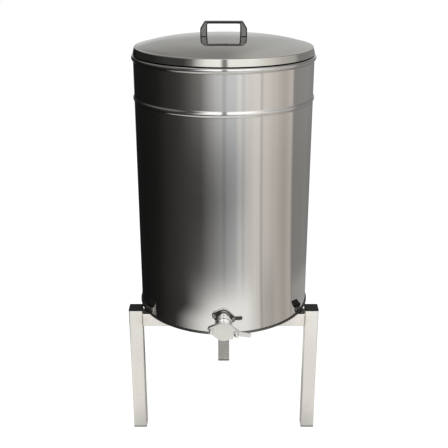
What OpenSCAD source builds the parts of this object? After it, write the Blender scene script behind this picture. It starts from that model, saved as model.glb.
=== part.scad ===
// Honey settling tank on a three-legged stand, in millimetres.
// +Z is up, the floor is z = 0 and the honey gate faces -Y.
// The origin is the middle of the whole object's footprint on the floor.

/* [Stand] */
// Side of the square steel tube
tube_w = 40; // [30:1:60]
// Wall of the square tube
tube_wall = 2; // [1.2:0.1:3]
// Outer corner radius of the square tube
tube_r = 3.5; // [3.2:0.1:6]
// Height of the bars' top face above the floor
bar_top = 395; // [250:1:700]
// How far the leg tubes stand above the bars
leg_over = 10; // [6:1:60]
// How far the front legs' inner faces lie inside the tank wall
leg_inset = 10; // [2:1:40]
// Gap between the tank's base rim and the front legs
leg_gap = 1.5; // [0.5:0.1:10]
// Gap between the tank's base rim and the rear leg
rear_gap = 16; // [1:1:80]
// Plate thickness of the leg caps
cap_t = 5; // [4:0.5:12]
// Plate thickness of the feet
foot_t = 5; // [4:0.5:20]
// Depth of the plugs inside the tubes
plug_depth = 18; // [14:1:40]

/* [Tank] */
// Outside diameter of the tank wall
tank_d = 500; // [400:5:700]
// Height from the base's underside to the mouth
tank_h = 761; // [500:1:1000]
// Thickness of the steel sheet
sheet = 1; // [0.8:0.1:1.5]
// How far the folded base rim stands out from the wall
rim_out = 4; // [3.5:0.1:8]
// Height of the folded base rim
rim_h = 6.5; // [6.5:0.5:20]
// Depth of the upper bead below the lid's skirt
high_bead_gap = 9.5; // [9.5:0.5:60]
// How far the upper bead stands out
high_bead_out = 5; // [3:0.1:6]
// Depth of the lower bead below the mouth
low_bead_drop = 137.5; // [80:0.5:300]
// How far the lower bead stands out
low_bead_out = 3; // [2:0.1:6]
// Height of the folded hem inside the mouth
hem_h = 8; // [4:0.5:12]

/* [Lid] */
// How far the lid's shoulder lies inside the tank wall
lid_in = 3; // [2:0.5:5]
// Height of the lid skirt
lid_skirt = 19; // [12:0.5:22]
// How far the skirt leans out at its lower edge
skirt_flare = 3.5; // [0.5:0.5:5]
// Gap between the skirt and the neck
lid_fit = 0.5; // [0.3:0.1:2]
// Width of the flat ledge round the dome
ledge_w = 5; // [4.5:0.5:12]
// Rise of the dome above the ledge
dome_rise = 25.5; // [22:0.5:40]
// Radius of the nearly flat crown
crown_half = 150; // [100:5:170]
// Radius of curvature of the crown
crown_curve = 1700; // [1500:100:4000]

/* [Lid handle] */
// Length of the handle
handle_l = 128; // [110:1:160]
// Height of the handle
handle_h = 40; // [34:1:60]
// Depth of the handle
handle_d = 22; // [16:1:30]
// Width of each handle leg
handle_leg_w = 19; // [17:0.5:24]
// Thickness of the handle's top bar
handle_bar_t = 6; // [5.5:0.5:12]
// Width of the slanted shoulder of the handle
handle_slant_w = 12; // [6:0.5:16]
// Height of the slanted shoulder of the handle
handle_slant_h = 19; // [12:0.5:26]
// Radius of a handle screw
handle_screw_r = 3; // [2:0.5:4]

/* [Honey gate] */
// Gap between the base rim and the welded socket
outlet_gap = 3.5; // [0.5:0.5:80]
// Bore radius of the gate
gate_bore_r = 17.5; // [12:0.5:17.5]
// Thread radius of the outlet
thread_r = 20.2; // [20:0.1:21.5]
// Outer radius of the welded socket
socket_r = 23; // [22.5:0.5:30]
// Length of the welded socket from the wall
socket_l = 9; // [8:0.5:40]
// Thickness of the flat gasket
gasket_t = 1.5; // [1:0.1:4]
// Thickness of the gate's spanner collar
collar_t = 4; // [3:0.5:12]
// Length of the gate's neck between collar and plate
neck_l = 21; // [9:0.5:40]
// Thickness of the gate's plate
plate_t = 6; // [5:0.5:12]
// Thickness of the blade
blade_t = 5; // [3:0.5:8]
// Radius of the blade's disc
blade_r = 27.5; // [26.5:0.5:29]
// Distance of the gate's bolts from the bore axis
ear_offset = 35; // [34:0.5:45]
// Radius of the ears round the bolts
ear_r = 9.5; // [8:0.5:11]
// Reach of the lever from the bore axis
lever_reach = 76.5; // [60:0.5:120]
// Width of the lever
lever_w = 12; // [10:0.5:18]
// Turn of the screwed-on gate about its bore, lever side down
gate_tilt = 9; // [0:1:30]
// Radius of the gate's bolts
bolt_r = 4; // [3:0.5:4]

/* [Hidden] */
$fn = 96;

STEEL = [0.78, 0.78, 0.76];
BRIGHT_STEEL = [0.85, 0.85, 0.83];
FRAME_STEEL = [0.80, 0.79, 0.75];
BLACK_PLASTIC = [0.07, 0.07, 0.07];
RUBBER = [0.12, 0.12, 0.13];

// Overrun of every cut past the solid it cuts
over = 1;
// Gap between pieces that are fixed to each other
seat_gap = 0.05;
// Running clearance of the blade on its bolt and under its washers
run_gap = 0.06;
blade_gap = 0.2;
// Gap of a bolt in a plain hole
hole_gap = 0.1;

// Places of the tank and the legs
tank_r = tank_d / 2;
rim_r = tank_r + rim_out;
leg_in = tank_r - leg_inset;
leg_back = -sqrt(pow(rim_r + leg_gap, 2) - pow(leg_in, 2));
leg_x = leg_in + tube_w / 2;
leg_y = leg_back - tube_w / 2;
rear_y = rim_r + rear_gap + tube_w / 2;
leg_top = bar_top + leg_over;
bar_z = bar_top - tube_w / 2;

// Distances along the gate from the tank axis
socket_end = tank_r + socket_l;
collar_s = socket_end + gasket_t;
neck_s = collar_s + collar_t;
plate_s = neck_s + neck_l;
plate_front = plate_s + plate_t;
blade_s = plate_front + blade_gap;
washer_s = blade_s + blade_t + blade_gap;
washer_t = 1.6;
nut_s = washer_s + washer_t;
nut_hex_h = 6.5;
nut_h = 14;
nut_flats = 13;
nut_corner_r = nut_flats / 2 / cos(30);
nut_dome_r = 6;
gate_front = nut_s + nut_h;

// The footprint is centred between the gate's front and the rear leg's back
axis_y = (gate_front - rear_y - tube_w / 2) / 2;

// Plugs in the tube ends
plug_gap = 0.1;
plug_core_gap = 2.5;
plug_rib_t = 1.5;
plug_rib_count = 3;
plate_chamfer = 2;

// Rolled shapes of the tank sheet
high_bead_r = 7;
high_bead_fillet = 4;
low_bead_r = 9;
low_bead_fillet = 5;
fold_gap = 0.1;
fold_r = 3;
lid_r = tank_r - lid_in;
neck_r = lid_r - sheet - lid_fit;
mouth_r = neck_r - 2 * sheet;
hem_r = neck_r - sheet;
high_bead_z = tank_h + sheet - lid_skirt - high_bead_gap;
low_bead_z = tank_h - low_bead_drop;

// Corner of the lid, turned about the middle of the folded hem
lid_corner_r = lid_r - hem_r;

// Dome of the lid: a nearly flat crown that runs into a rounder shoulder
dome_r = lid_r - ledge_w;
ledge_lap = sheet / 10;
function crown_drop(r) = crown_curve - sqrt(pow(crown_curve, 2) - pow(r, 2));
crown_angle = asin(crown_half / crown_curve);
shoulder_angle = 2 * atan((dome_rise - crown_drop(crown_half)) / (dome_r - crown_half)) - crown_angle;
shoulder_curve = (dome_r - crown_half) / (sin(shoulder_angle) - sin(crown_angle));
apex = sheet + dome_rise;
crown_c = [0, apex - crown_curve];
shoulder_c = crown_c + (crown_curve - shoulder_curve) * [sin(crown_angle), cos(crown_angle)];

// Handle and its screws
handle_base = apex - crown_drop(handle_l / 2 - handle_leg_w);
handle_screw_x = handle_l / 2 - handle_leg_w / 2;
handle_edge_r = 4;
handle_inner_r = 4;
handle_screw_depth = 14;
handle_head_r = 6;
handle_head_h = 3.6;
handle_washer_r = 9;
handle_washer_t = 1.2;
handle_washer_top = apex - sheet - seat_gap - crown_drop(handle_screw_x + handle_washer_r);

// Small sizes of the gate
outlet_z = rim_h + outlet_gap + socket_r;
collar_step = 2.6;
collar_r = thread_r + collar_step;
flat_cut = 1.6;
collar_flats = 2 * (collar_r - flat_cut);
neck_wall = 3.4;
neck_out_r = gate_bore_r + neck_wall;
spigot_back = 2;
spigot_l = socket_l - spigot_back;
seal_d = 3;
seal_wall = 1.4;
seal_proud = 0.15;
groove_side = 0.1;
seal_mid_r = gate_bore_r + seal_wall + groove_side + seal_d / 2;
slot_gap = 0.4;
// How far the flanks between disc and ear lie inside their tangents
flank_in = 0.03;
jaw_l = 19;
jaw_w = 6;
bolt_head_h = 5.3;
bolt_tip = 2.5;
washer_r = 8;
nut_cap_t = 3;
nut_bore_depth = nut_h - nut_cap_t;

// Places shapes relative to the tank's base
module tank_place()
    translate([0, axis_y, bar_top]) children();

// Places shapes on the mouth of the tank
module lid_place()
    translate([0, axis_y, bar_top + tank_h]) children();

// Local z is the distance from the tank axis, local y is up
module outlet_place()
    translate([0, axis_y, bar_top + outlet_z]) rotate([90, 0, 0]) children();

// The screwed-on gate ends up turned a little about its bore
module gate_place()
    outlet_place() rotate(-gate_tilt) children();

// Outline with four round corners, centred
module rounded_square(size, r) {
    square([size[0] - 2 * r, size[1]], center = true);
    square([size[0], size[1] - 2 * r], center = true);
    for (x = [-1, 1], y = [-1, 1])
        translate([x * (size[0] / 2 - r), y * (size[1] / 2 - r)]) circle(r);
}

// Square tube along +Z
module square_tube(length)
    linear_extrude(length) difference() {
        rounded_square([tube_w, tube_w], tube_r);
        rounded_square([tube_w - 2 * tube_wall, tube_w - 2 * tube_wall], tube_r - tube_wall);
    }

module leg_tube(x, y)
    color(FRAME_STEEL) translate([x, axis_y + y, foot_t]) square_tube(leg_top - foot_t);

// Outline of a plug's plate from the side: square below, chamfered above
module plate_side(t)
    polygon([[-tube_w / 2, 0], [tube_w / 2, 0], [tube_w / 2, t - plate_chamfer],
        [tube_w / 2 - plate_chamfer, t], [plate_chamfer - tube_w / 2, t], [-tube_w / 2, t - plate_chamfer]]);

// Plate with a ribbed plug below it, for the end of a square tube
module tube_plug(t) {
    inner_w = tube_w - 2 * tube_wall - 2 * plug_gap;
    core_w = inner_w - 2 * plug_core_gap;
    rib_step = (plug_depth - plug_rib_t) / plug_rib_count;
    intersection() {
        linear_extrude(t) rounded_square([tube_w, tube_w], tube_r);
        translate([0, tube_w / 2, 0]) rotate([90, 0, 0]) linear_extrude(tube_w) plate_side(t);
        translate([-tube_w / 2, 0, 0]) rotate([90, 0, 90]) linear_extrude(tube_w) plate_side(t);
    }
    difference() {
        translate([-core_w / 2, -core_w / 2, -plug_depth]) cube([core_w, core_w, plug_depth]);
        translate([plug_rib_t - core_w / 2, plug_rib_t - core_w / 2, -plug_depth - over])
            cube([core_w - 2 * plug_rib_t, core_w - 2 * plug_rib_t, plug_depth + over]);
    }
    for (i = [1 : plug_rib_count])
        translate([0, 0, -i * rib_step]) linear_extrude(plug_rib_t) difference() {
            rounded_square([inner_w, inner_w], tube_r - tube_wall);
            square(core_w - plug_rib_t, center = true);
        }
}

module top_cap(x, y)
    color(BLACK_PLASTIC) translate([x, axis_y + y, leg_top]) tube_plug(cap_t);

module foot(x, y)
    color(BLACK_PLASTIC) translate([x, axis_y + y, foot_t]) mirror([0, 0, 1]) tube_plug(foot_t);

// Bar between the front legs
module cross_bar()
    color(FRAME_STEEL) translate([-leg_in, axis_y + leg_y, bar_z])
        rotate([0, 90, 0]) square_tube(2 * leg_in);

// Bar from the cross bar to the rear leg
module rear_bar()
    color(FRAME_STEEL) translate([0, axis_y + leg_back, bar_z])
        rotate([-90, 0, 0]) square_tube(rear_y - tube_w / 2 - leg_back);

// Hollow bead rolled outwards in the sheet, with a fillet at each foot
// below_r and above_r are the wall radii under and over the bead
module bead(z, out, r, fillet, below_r, above_r) {
    mid = [tank_r + out - r, z];
    intersection() {
        translate(mid) circle(r);
        polygon([[below_r - sheet, z - r], [tank_r + r, z - r], [tank_r + r, z + r], [above_r - sheet, z + r]]);
    }
    for (side = [-1, 1]) {
        foot_r = side < 0 ? below_r : above_r;
        reach = foot_r + fillet - mid[0];
        rise = sqrt(pow(r + fillet, 2) - pow(reach, 2));
        touch = mid + r / (r + fillet) * [reach, side * rise];
        corner = [foot_r + fillet, z + side * rise];
        difference() {
            polygon(side < 0 ? [[foot_r, corner[1]], corner, touch, [foot_r, touch[1]]]
                : [[foot_r, touch[1]], touch, corner, [foot_r, corner[1]]]);
            translate(corner) circle(fillet);
        }
    }
}

// Section of the wall: straight sheet, two beads, drawn-in neck with a hem, and a hook for the base fold
module wall_section() {
    wall_foot = sheet + fold_gap;
    hook_out = rim_out - sheet - fold_gap;
    hook_r = fold_r - sheet;
    hook_h = rim_h - fold_r - wall_foot - hook_r;
    difference() {
        union() {
            translate([tank_r - sheet, wall_foot]) square([sheet, high_bead_z - wall_foot]);
            translate([hem_r, high_bead_z]) square([sheet, tank_h - sheet - high_bead_z]);
            translate([mouth_r, tank_h - hem_h]) square([2 * sheet, hem_h - sheet]);
            translate([hem_r, tank_h - sheet]) circle(sheet);
            bead(low_bead_z, low_bead_out, low_bead_r, low_bead_fillet, tank_r, tank_r);
            bead(high_bead_z, high_bead_out, high_bead_r, high_bead_fillet, tank_r, neck_r);
        }
        translate([tank_r + low_bead_out - low_bead_r, low_bead_z]) circle(low_bead_r - sheet);
        translate([tank_r + high_bead_out - high_bead_r, high_bead_z]) circle(high_bead_r - sheet);
    }
    translate([tank_r - sheet / 2, wall_foot]) square([sheet / 2 + hook_out - hook_r, sheet]);
    translate([tank_r + hook_out - sheet, wall_foot + hook_r]) square([sheet, hook_h]);
    intersection() {
        translate([tank_r + hook_out - hook_r, wall_foot + hook_r]) difference() {
            circle(hook_r);
            circle(hook_r - sheet);
        }
        translate([tank_r + hook_out - hook_r, wall_foot]) square(hook_r);
    }
}

// Rolled wall of the tank with the hole for the outlet
module tank_shell()
    color(STEEL) difference() {
        tank_place() rotate_extrude() wall_section();
        outlet_place() cylinder(r = thread_r, h = rim_r);
    }

// Outline with both outer corners round, from inner radius a to outer radius b
module curl_outline(a, b, low, high, r) {
    translate([a, low]) square([b - r - a, high - low]);
    translate([a, low + r]) square([b - a, high - low - 2 * r]);
    for (z = [low + r, high - r])
        translate([b - r, z]) circle(r);
}

// Flat base whose edge is curled up and over the wall's hook
module tank_base()
    color(STEEL) tank_place() rotate_extrude() {
        square([rim_r - fold_r, sheet]);
        difference() {
            intersection() {
                curl_outline(tank_r, rim_r, 0, rim_h, fold_r);
                translate([tank_r + fold_gap, 0]) square([rim_out, rim_h]);
            }
            curl_outline(0, rim_r - sheet, sheet, rim_h - sheet, fold_r - sheet);
        }
    }

// Threaded half coupling welded to the wall
module outlet_socket()
    color(BRIGHT_STEEL) difference() {
        outlet_place() translate([0, 0, tank_r - socket_l]) difference() {
            cylinder(r = socket_r, h = 2 * socket_l);
            translate([0, 0, -over]) cylinder(r = thread_r, h = 2 * (socket_l + over));
        }
        tank_place() cylinder(r = tank_r + seat_gap, h = tank_h);
    }

// Flat gasket between the socket and the gate's collar
module gate_gasket()
    color(RUBBER) outlet_place() translate([0, 0, socket_end]) difference() {
        cylinder(r = collar_r, h = gasket_t);
        translate([0, 0, -over]) cylinder(r = thread_r + seat_gap, h = gasket_t + 2 * over);
    }

// Outline of a disc that runs into an ear by two tangents, on the right or, with side -1, on the left
module disc_and_ear(disc, side) {
    lean = acos((disc - ear_r) / ear_offset);
    disc_touch = (disc - flank_in) * [cos(lean), sin(lean)];
    ear_touch = [ear_offset, 0] + (ear_r - flank_in) * [cos(lean), sin(lean)];
    rotate(side < 0 ? 180 : 0) {
        circle(disc);
        translate([ear_offset, 0]) circle(ear_r);
        polygon([[disc_touch[0], -disc_touch[1]], [ear_touch[0], -ear_touch[1]], ear_touch, disc_touch]);
    }
}

// Cast body: threaded spigot, collar with spanner flats, neck and two-eared plate
module gate_body()
    color(BRIGHT_STEEL) gate_place() difference() {
        union() {
            translate([0, 0, collar_s - gasket_t - spigot_l])
                cylinder(r = thread_r - seat_gap, h = spigot_l + gasket_t);
            translate([0, 0, collar_s]) linear_extrude(collar_t) intersection() {
                circle(collar_r);
                square([collar_flats, 2 * collar_r], center = true);
            }
            translate([0, 0, neck_s]) cylinder(r = neck_out_r, h = neck_l);
            translate([0, 0, plate_s]) linear_extrude(plate_t) {
                disc_and_ear(blade_r, -1);
                disc_and_ear(blade_r, 1);
            }
        }
        translate([0, 0, tank_r - socket_l]) cylinder(r = gate_bore_r, h = gate_front);
        for (side = [-1, 1])
            translate([side * ear_offset, 0, plate_s - over])
                cylinder(r = bolt_r + hole_gap, h = plate_t + 2 * over);
        translate([0, 0, plate_front - seal_d + seal_proud]) linear_extrude(seal_d) difference() {
            circle(seal_mid_r + seal_d / 2 + groove_side);
            circle(seal_mid_r - seal_d / 2 - groove_side);
        }
    }

// Round sealing ring in the plate's groove
module gate_seal()
    color(RUBBER) gate_place() translate([0, 0, plate_front + seal_proud - seal_d / 2])
        rotate_extrude() translate([seal_mid_r, 0]) circle(seal_d / 2 - seat_gap);

// Slot in the blade that swings clear of the clamp bolt, drawn about the pivot
module hook_slot() {
    slot_r = bolt_r + slot_gap;
    swing_r = 2 * ear_offset;
    translate([ear_offset, 0]) circle(slot_r);
    intersection() {
        translate([-ear_offset, 0]) difference() {
            circle(swing_r + slot_r);
            circle(swing_r - slot_r);
        }
        translate([0, -swing_r]) square([swing_r, swing_r]);
    }
}

// Blade that turns on the left bolt, with a hook over the right bolt and a lever
module gate_blade()
    color(BRIGHT_STEEL) gate_place() translate([0, 0, blade_s]) difference() {
        union() {
            for (side = [-1, 1])
                linear_extrude(blade_t) disc_and_ear(blade_r, side);
            translate([ear_offset - bolt_r - slot_gap - jaw_w, -jaw_l, 0]) cube([jaw_w, jaw_l, blade_t]);
            translate([ear_offset, -lever_w / 2, 0])
                cube([lever_reach - ear_offset - lever_w / 2, lever_w, blade_t]);
            translate([lever_reach - lever_w / 2, 0, 0]) cylinder(r = lever_w / 2, h = blade_t);
        }
        translate([-ear_offset, 0, -over]) cylinder(r = bolt_r + run_gap, h = blade_t + 2 * over);
        translate([0, 0, -over]) linear_extrude(blade_t + 2 * over) hook_slot();
    }

// Hexagon-headed bolt with its head behind the plate
module gate_bolt(side)
    color(STEEL) gate_place() translate([side * ear_offset, 0, 0]) {
        translate([0, 0, plate_s - bolt_head_h]) cylinder(r = nut_corner_r, h = bolt_head_h, $fn = 6);
        translate([0, 0, plate_s]) cylinder(r = bolt_r, h = nut_s + nut_bore_depth - bolt_tip - plate_s);
    }

module gate_washer(side)
    color(STEEL) gate_place() translate([side * ear_offset, 0, washer_s]) difference() {
        cylinder(r = washer_r, h = washer_t);
        translate([0, 0, -over]) cylinder(r = bolt_r + hole_gap, h = washer_t + 2 * over);
    }

// Domed cap nut
module gate_nut(side)
    color(BRIGHT_STEEL) gate_place() translate([side * ear_offset, 0, nut_s]) difference() {
        union() {
            cylinder(r = nut_corner_r, h = nut_hex_h, $fn = 6);
            rotate_extrude() {
                square([nut_dome_r, nut_h - nut_dome_r]);
                intersection() {
                    translate([0, nut_h - nut_dome_r]) circle(nut_dome_r);
                    square([nut_dome_r, nut_h]);
                }
            }
        }
        translate([0, 0, -over]) cylinder(r = bolt_r + seat_gap, h = nut_bore_depth + over);
    }

// Region under the dome's curve, drawn in by the given depth
module dome_region(depth) {
    far = 2 * crown_curve;
    lean = [sin(crown_angle), cos(crown_angle)];
    intersection() {
        square([lid_r, apex]);
        union() {
            intersection() {
                translate(crown_c) circle(crown_curve - depth);
                polygon([crown_c, crown_c + far * lean, crown_c + [0, far]]);
            }
            intersection() {
                translate(shoulder_c) circle(shoulder_curve - depth);
                polygon([shoulder_c, shoulder_c + [far, 0], shoulder_c + far * lean]);
            }
        }
    }
}

// Spun lid: dome, flat ledge and leaning skirt with a round corner; its seam lies away from the screws
module lid_shell()
    color(STEEL) lid_place() difference() {
        rotate(90) rotate_extrude() {
            difference() {
                dome_region(0);
                dome_region(sheet);
            }
            translate([dome_r - ledge_lap, 0]) square([ledge_w - lid_corner_r + ledge_lap, sheet]);
            polygon([[lid_r - sheet, sheet - lid_corner_r], [lid_r + skirt_flare - sheet, sheet - lid_skirt],
                [lid_r + skirt_flare, sheet - lid_skirt], [lid_r, sheet - lid_corner_r]]);
            intersection() {
                translate([lid_r - lid_corner_r, sheet - lid_corner_r]) difference() {
                    circle(lid_corner_r);
                    circle(lid_corner_r - sheet);
                }
                translate([lid_r - lid_corner_r, sheet - lid_corner_r]) square(lid_corner_r);
            }
        }
        for (side = [-1, 1])
            translate([side * handle_screw_x, 0, 0]) cylinder(r = handle_screw_r + hole_gap, h = 2 * apex);
    }

// Side view of the handle: slanted shoulders and a finger opening with round upper corners
module handle_outline() {
    half = handle_l / 2;
    open_half = half - handle_leg_w;
    open_h = handle_h - handle_bar_t;
    difference() {
        polygon([[-half, 0], [half, 0], [half, handle_h - handle_slant_h], [half - handle_slant_w, handle_h],
            [handle_slant_w - half, handle_h], [-half, handle_h - handle_slant_h]]);
        translate([-open_half, -over]) square([2 * open_half, open_h - handle_inner_r + over]);
        translate([0, open_h / 2]) rounded_square([2 * open_half, open_h], handle_inner_r);
    }
}

// Moulded handle with rounded long edges and blind holes for its screws
module lid_handle()
    color(BLACK_PLASTIC) lid_place() translate([0, 0, handle_base]) difference() {
        intersection() {
            translate([0, handle_d / 2, 0]) rotate([90, 0, 0]) linear_extrude(handle_d) handle_outline();
            translate([-handle_l / 2, 0, 0]) rotate([90, 0, 90]) linear_extrude(handle_l) union() {
                translate([0, handle_h / 2]) rounded_square([handle_d, handle_h], handle_edge_r);
                translate([-handle_d / 2, 0]) square([handle_d, handle_h / 2]);
            }
        }
        for (side = [-1, 1])
            translate([side * handle_screw_x, 0, -over])
                cylinder(r = handle_screw_r + seat_gap, h = handle_screw_depth + over);
    }

// Screws driven up through the lid into the handle's legs
module handle_screws()
    color(STEEL) lid_place()
        for (side = [-1, 1])
            translate([side * handle_screw_x, 0, handle_washer_top - handle_washer_t]) {
                translate([0, 0, -handle_head_h]) cylinder(r = handle_head_r, h = handle_head_h);
                cylinder(r = handle_screw_r, h = handle_screw_depth);
            }

module handle_washers()
    color(STEEL) lid_place()
        for (side = [-1, 1])
            translate([side * handle_screw_x, 0, handle_washer_top - handle_washer_t]) difference() {
                cylinder(r = handle_washer_r, h = handle_washer_t);
                translate([0, 0, -over])
                    cylinder(r = handle_screw_r + hole_gap, h = handle_washer_t + 2 * over);
            }

leg_tube(-leg_x, leg_y);  // leg_left
leg_tube(leg_x, leg_y);  // leg_right
leg_tube(0, rear_y);  // leg_rear
cross_bar();
rear_bar();
top_cap(-leg_x, leg_y);  // top_cap_left
top_cap(leg_x, leg_y);  // top_cap_right
top_cap(0, rear_y);  // top_cap_rear
foot(-leg_x, leg_y);  // foot_left
foot(leg_x, leg_y);  // foot_right
foot(0, rear_y);  // foot_rear
tank_shell();
tank_base();
outlet_socket();
gate_gasket();
gate_body();
gate_seal();
gate_blade();
gate_bolt(-1);  // pivot_bolt
gate_bolt(1);  // clamp_bolt
gate_washer(-1);  // pivot_washer
gate_washer(1);  // clamp_washer
gate_nut(-1);  // pivot_nut
gate_nut(1);  // clamp_nut
lid_shell();
lid_handle();
handle_screws();
handle_washers();
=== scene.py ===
"""Dressed model of a honey settling tank: wall, lid, honey gate and stand in a plain studio."""

import logging
import math
from dataclasses import dataclass, field
from enum import Enum
from typing import Any, Callable, Optional, Sequence, Union

import bmesh
import bpy
from mathutils import Matrix, Vector


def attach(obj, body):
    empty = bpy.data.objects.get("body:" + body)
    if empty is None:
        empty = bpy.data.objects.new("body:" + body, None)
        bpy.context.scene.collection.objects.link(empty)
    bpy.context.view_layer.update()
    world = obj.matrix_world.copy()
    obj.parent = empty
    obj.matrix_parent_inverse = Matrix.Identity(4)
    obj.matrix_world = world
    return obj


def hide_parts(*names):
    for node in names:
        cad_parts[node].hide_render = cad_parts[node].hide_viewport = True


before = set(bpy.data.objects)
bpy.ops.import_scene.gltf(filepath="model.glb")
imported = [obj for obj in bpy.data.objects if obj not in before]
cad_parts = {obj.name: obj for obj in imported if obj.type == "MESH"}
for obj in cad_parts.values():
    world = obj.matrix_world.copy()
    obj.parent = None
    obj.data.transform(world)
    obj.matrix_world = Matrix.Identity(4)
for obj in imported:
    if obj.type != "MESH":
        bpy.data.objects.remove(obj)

LOG = logging.getLogger("honey_tank")
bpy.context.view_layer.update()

MM = 0.001
AXIS_Y = 1.25
BAR_TOP = 395.0
MOUTH_Z = 1156.0
TURN = 2 * math.pi
SEAM_EDGE = (math.pi - 0.012, math.pi - 0.006)
ROUND_STEPS = 288

Colour = tuple[float, float, float]
Place = tuple[float, float, float]
Point = tuple[float, float]
Number = Union[float, "Socket"]


class Grain(Enum):
    """Ways in which the marks of rolling or brushing run over a piece."""

    UPRIGHT = (1.0, 1.0, 0.02)
    CROSSWAYS = (0.02, 1.0, 1.0)
    LENGTHWAYS = (1.0, 0.02, 1.0)


class Edge(Enum):
    """How strongly an edge has to turn before it is shaded as sharp, in degrees."""

    ROLLED = 50.0
    CUT = 34.0


class Socket:
    """One output of a shader node that takes part in plain arithmetic."""

    def __init__(self, graph: "Graph", output: bpy.types.NodeSocket) -> None:
        """Keeps the graph and the output that this value comes from."""
        self.graph = graph
        self.output = output

    def math(self, operation: str, *others: Number) -> "Socket":
        """Adds one Math node.

        Args:
            operation: name of the Math node's operation.
            others: the values after this one.

        Returns:
            The node's value.
        """
        inputs = dict(enumerate((self, *others)))
        return self.graph.value("ShaderNodeMath", {"operation": operation}, inputs)

    def __add__(self, other: Number) -> "Socket":
        """Sum."""
        return self.math("ADD", other)

    __radd__ = __add__

    def __sub__(self, other: Number) -> "Socket":
        """Difference."""
        return self.math("SUBTRACT", other)

    def __rsub__(self, other: float) -> "Socket":
        """Difference from a number."""
        return (self * -1.0) + other

    def __mul__(self, other: Number) -> "Socket":
        """Product."""
        return self.math("MULTIPLY", other)

    __rmul__ = __mul__

    def __truediv__(self, other: Number) -> "Socket":
        """Quotient."""
        return self.math("DIVIDE", other)

    def __neg__(self) -> "Socket":
        """Negative."""
        return self * -1.0

    def __abs__(self) -> "Socket":
        """Size without its sign."""
        return self.math("ABSOLUTE")

    def __pow__(self, other: Number) -> "Socket":
        """Power."""
        return self.math("POWER", other)

    def step(self, low: float, high: float) -> "Socket":
        """Soft step.

        Args:
            low: where the step is 0.
            high: where the step is 1.

        Returns:
            A value from 0 to 1.
        """
        settings = {"interpolation_type": "SMOOTHSTEP"}
        inputs = {"Value": self, "From Min": low, "From Max": high}
        return self.graph.value("ShaderNodeMapRange", settings, inputs)

    def within(self, rise: Point, fall: Point) -> "Socket":
        """Soft band that is 1 between a rise and a fall."""
        return self.step(*rise) * (1.0 - self.step(*fall))


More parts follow.
